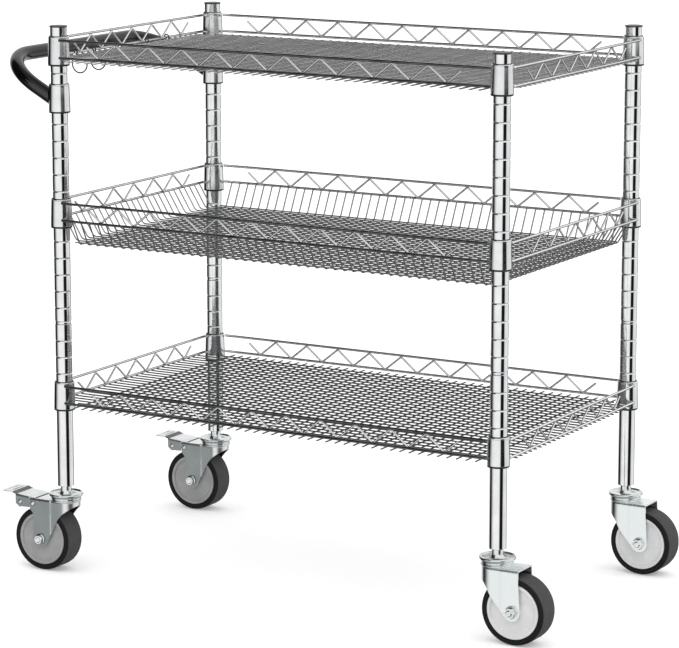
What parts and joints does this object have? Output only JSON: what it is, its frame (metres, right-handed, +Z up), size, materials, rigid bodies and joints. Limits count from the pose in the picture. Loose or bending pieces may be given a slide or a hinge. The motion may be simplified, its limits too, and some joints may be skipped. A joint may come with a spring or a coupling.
{
  "type": "wire shelf cart",
  "caption": "Chrome wire utility cart with two flat wire shelves, a dropped wire basket between them, a tubular push handle, hanging hooks and braked swivel casters.",
  "frame": {"origin": "centre of the overall box on the floor, at the bottom of the tyres", "axes": "+X along the shelves, away from the handle; +Y across the shelves towards the rear; +Z up"},
  "size_m": [0.9492, 0.494, 0.838],
  "materials": {
    "chrome_post": "bright chrome plate on tube",
    "chrome_wire": "bright chrome plate on wire",
    "chrome_mat": "chrome plate on fine wire, slightly dull",
    "cap_plastic": "dark grey moulded plastic",
    "sleeve_plastic": "black moulded plastic",
    "handle_gloss": "glossy black over steel tube",
    "zinc": "satin zinc plate on pressed steel",
    "hub_plastic": "light grey moulded plastic",
    "tyre_rubber": "dark grey rubber tread"
  },
  "bodies": {
    "frame": {"post_front_left": "chrome_post", "cap_front_left": "cap_plastic", "sleeve_top_front_left": "sleeve_plastic", "sleeve_middle_front_left": "sleeve_plastic", "sleeve_bottom_front_left": "sleeve_plastic", "caster_stem_front_left": "zinc", "post_front_right": "chrome_post", "cap_front_right": "cap_plastic", "sleeve_top_front_right": "sleeve_plastic", "sleeve_middle_front_right": "sleeve_plastic", "sleeve_bottom_front_right": "sleeve_plastic", "caster_stem_front_right": "zinc", "post_rear_left": "chrome_post", "cap_rear_left": "cap_plastic", "sleeve_top_rear_left": "sleeve_plastic", "sleeve_middle_rear_left": "sleeve_plastic", "sleeve_bottom_rear_left": "sleeve_plastic", "caster_stem_rear_left": "zinc", "post_rear_right": "chrome_post", "cap_rear_right": "cap_plastic", "sleeve_top_rear_right": "sleeve_plastic", "sleeve_middle_rear_right": "sleeve_plastic", "sleeve_bottom_rear_right": "sleeve_plastic", "caster_stem_rear_right": "zinc", "shelf_frame_top": "chrome_wire", "shelf_frame_middle": "chrome_wire", "shelf_frame_bottom": "chrome_wire", "shelf_mat_top": "chrome_mat", "basket_mat_middle": "chrome_mat", "shelf_mat_bottom": "chrome_mat", "handle_tube": "handle_gloss", "handle_bracket_front": "chrome_post", "handle_bracket_rear": "chrome_post"},
    "swivel_front_left": {"caster_fork_front_left": "zinc", "axle_bolt_front_left": "zinc", "axle_nut_front_left": "zinc"},
    "wheel_front_left": {"wheel_hub_front_left": "hub_plastic", "tyre_front_left": "tyre_rubber"},
    "pedal_front_left": {"brake_pedal_front_left": "zinc"},
    "swivel_front_right": {"caster_fork_front_right": "zinc", "axle_bolt_front_right": "zinc", "axle_nut_front_right": "zinc"},
    "wheel_front_right": {"wheel_hub_front_right": "hub_plastic", "tyre_front_right": "tyre_rubber"},
    "swivel_rear_left": {"caster_fork_rear_left": "zinc", "axle_bolt_rear_left": "zinc", "axle_nut_rear_left": "zinc"},
    "wheel_rear_left": {"wheel_hub_rear_left": "hub_plastic", "tyre_rear_left": "tyre_rubber"},
    "pedal_rear_left": {"brake_pedal_rear_left": "zinc"},
    "swivel_rear_right": {"caster_fork_rear_right": "zinc", "axle_bolt_rear_right": "zinc", "axle_nut_rear_right": "zinc"},
    "wheel_rear_right": {"wheel_hub_rear_right": "hub_plastic", "tyre_rear_right": "tyre_rubber"},
    "hook_swing_body_1": {"hook_1": "chrome_wire"},
    "hook_swing_body_2": {"hook_2": "chrome_wire"},
    "hook_swing_body_3": {"hook_3": "chrome_wire"},
    "hook_swing_body_4": {"hook_4": "chrome_wire"},
    "hook_swing_body_5": {"hook_5": "chrome_wire"}
  },
  "joints": [
    {"name": "swivel_turn_front_left", "type": "hinge", "parent": "frame", "child": "swivel_front_left", "pos_m": [-0.34965, -0.2155, 0.118], "axis": [0, 0, 1], "continuous": true},
    {"name": "wheel_spin_front_left", "type": "hinge", "parent": "swivel_front_left", "child": "wheel_front_left", "pos_m": [-0.38335, -0.2155, 0.0495], "axis": [0, 1, 0], "continuous": true},
    {"name": "brake_press_front_left", "type": "hinge", "parent": "swivel_front_left", "child": "pedal_front_left", "pos_m": [-0.39665, -0.2155, 0.104], "axis": [0, -1, 0], "range_deg": [0, 10]},
    {"name": "swivel_turn_front_right", "type": "hinge", "parent": "frame", "child": "swivel_front_right", "pos_m": [0.39135, -0.2155, 0.118], "axis": [0, 0, 1], "continuous": true},
    {"name": "wheel_spin_front_right", "type": "hinge", "parent": "swivel_front_right", "child": "wheel_front_right", "pos_m": [0.42505, -0.2155, 0.0495], "axis": [0, 1, 0], "continuous": true},
    {"name": "swivel_turn_rear_left", "type": "hinge", "parent": "frame", "child": "swivel_rear_left", "pos_m": [-0.34965, 0.2155, 0.118], "axis": [0, 0, 1], "continuous": true},
    {"name": "wheel_spin_rear_left", "type": "hinge", "parent": "swivel_rear_left", "child": "wheel_rear_left", "pos_m": [-0.38335, 0.2155, 0.0495], "axis": [0, 1, 0], "continuous": true},
    {"name": "brake_press_rear_left", "type": "hinge", "parent": "swivel_rear_left", "child": "pedal_rear_left", "pos_m": [-0.39665, 0.2155, 0.104], "axis": [0, -1, 0], "range_deg": [0, 10]},
    {"name": "swivel_turn_rear_right", "type": "hinge", "parent": "frame", "child": "swivel_rear_right", "pos_m": [0.39135, 0.2155, 0.118], "axis": [0, 0, 1], "continuous": true},
    {"name": "wheel_spin_rear_right", "type": "hinge", "parent": "swivel_rear_right", "child": "wheel_rear_right", "pos_m": [0.42505, 0.2155, 0.0495], "axis": [0, 1, 0], "continuous": true},
    {"name": "hook_swing_1", "type": "hinge", "parent": "frame", "child": "hook_swing_body_1", "pos_m": [-0.36435, -0.1525, 0.7911], "axis": [0, 1, 0], "range_deg": [-30, 30]},
    {"name": "hook_swing_2", "type": "hinge", "parent": "frame", "child": "hook_swing_body_2", "pos_m": [-0.36435, -0.103, 0.7911], "axis": [0, 1, 0], "range_deg": [-30, 30]},
    {"name": "hook_swing_3", "type": "hinge", "parent": "frame", "child": "hook_swing_body_3", "pos_m": [-0.36435, -0.0412, 0.7911], "axis": [0, 1, 0], "range_deg": [-30, 30]},
    {"name": "hook_swing_4", "type": "hinge", "parent": "frame", "child": "hook_swing_body_4", "pos_m": [-0.36435, 0.043, 0.7911], "axis": [0, 1, 0], "range_deg": [-30, 30]},
    {"name": "hook_swing_5", "type": "hinge", "parent": "frame", "child": "hook_swing_body_5", "pos_m": [-0.36435, 0.1026, 0.7911], "axis": [0, 1, 0], "range_deg": [-30, 30]}
  ]
}
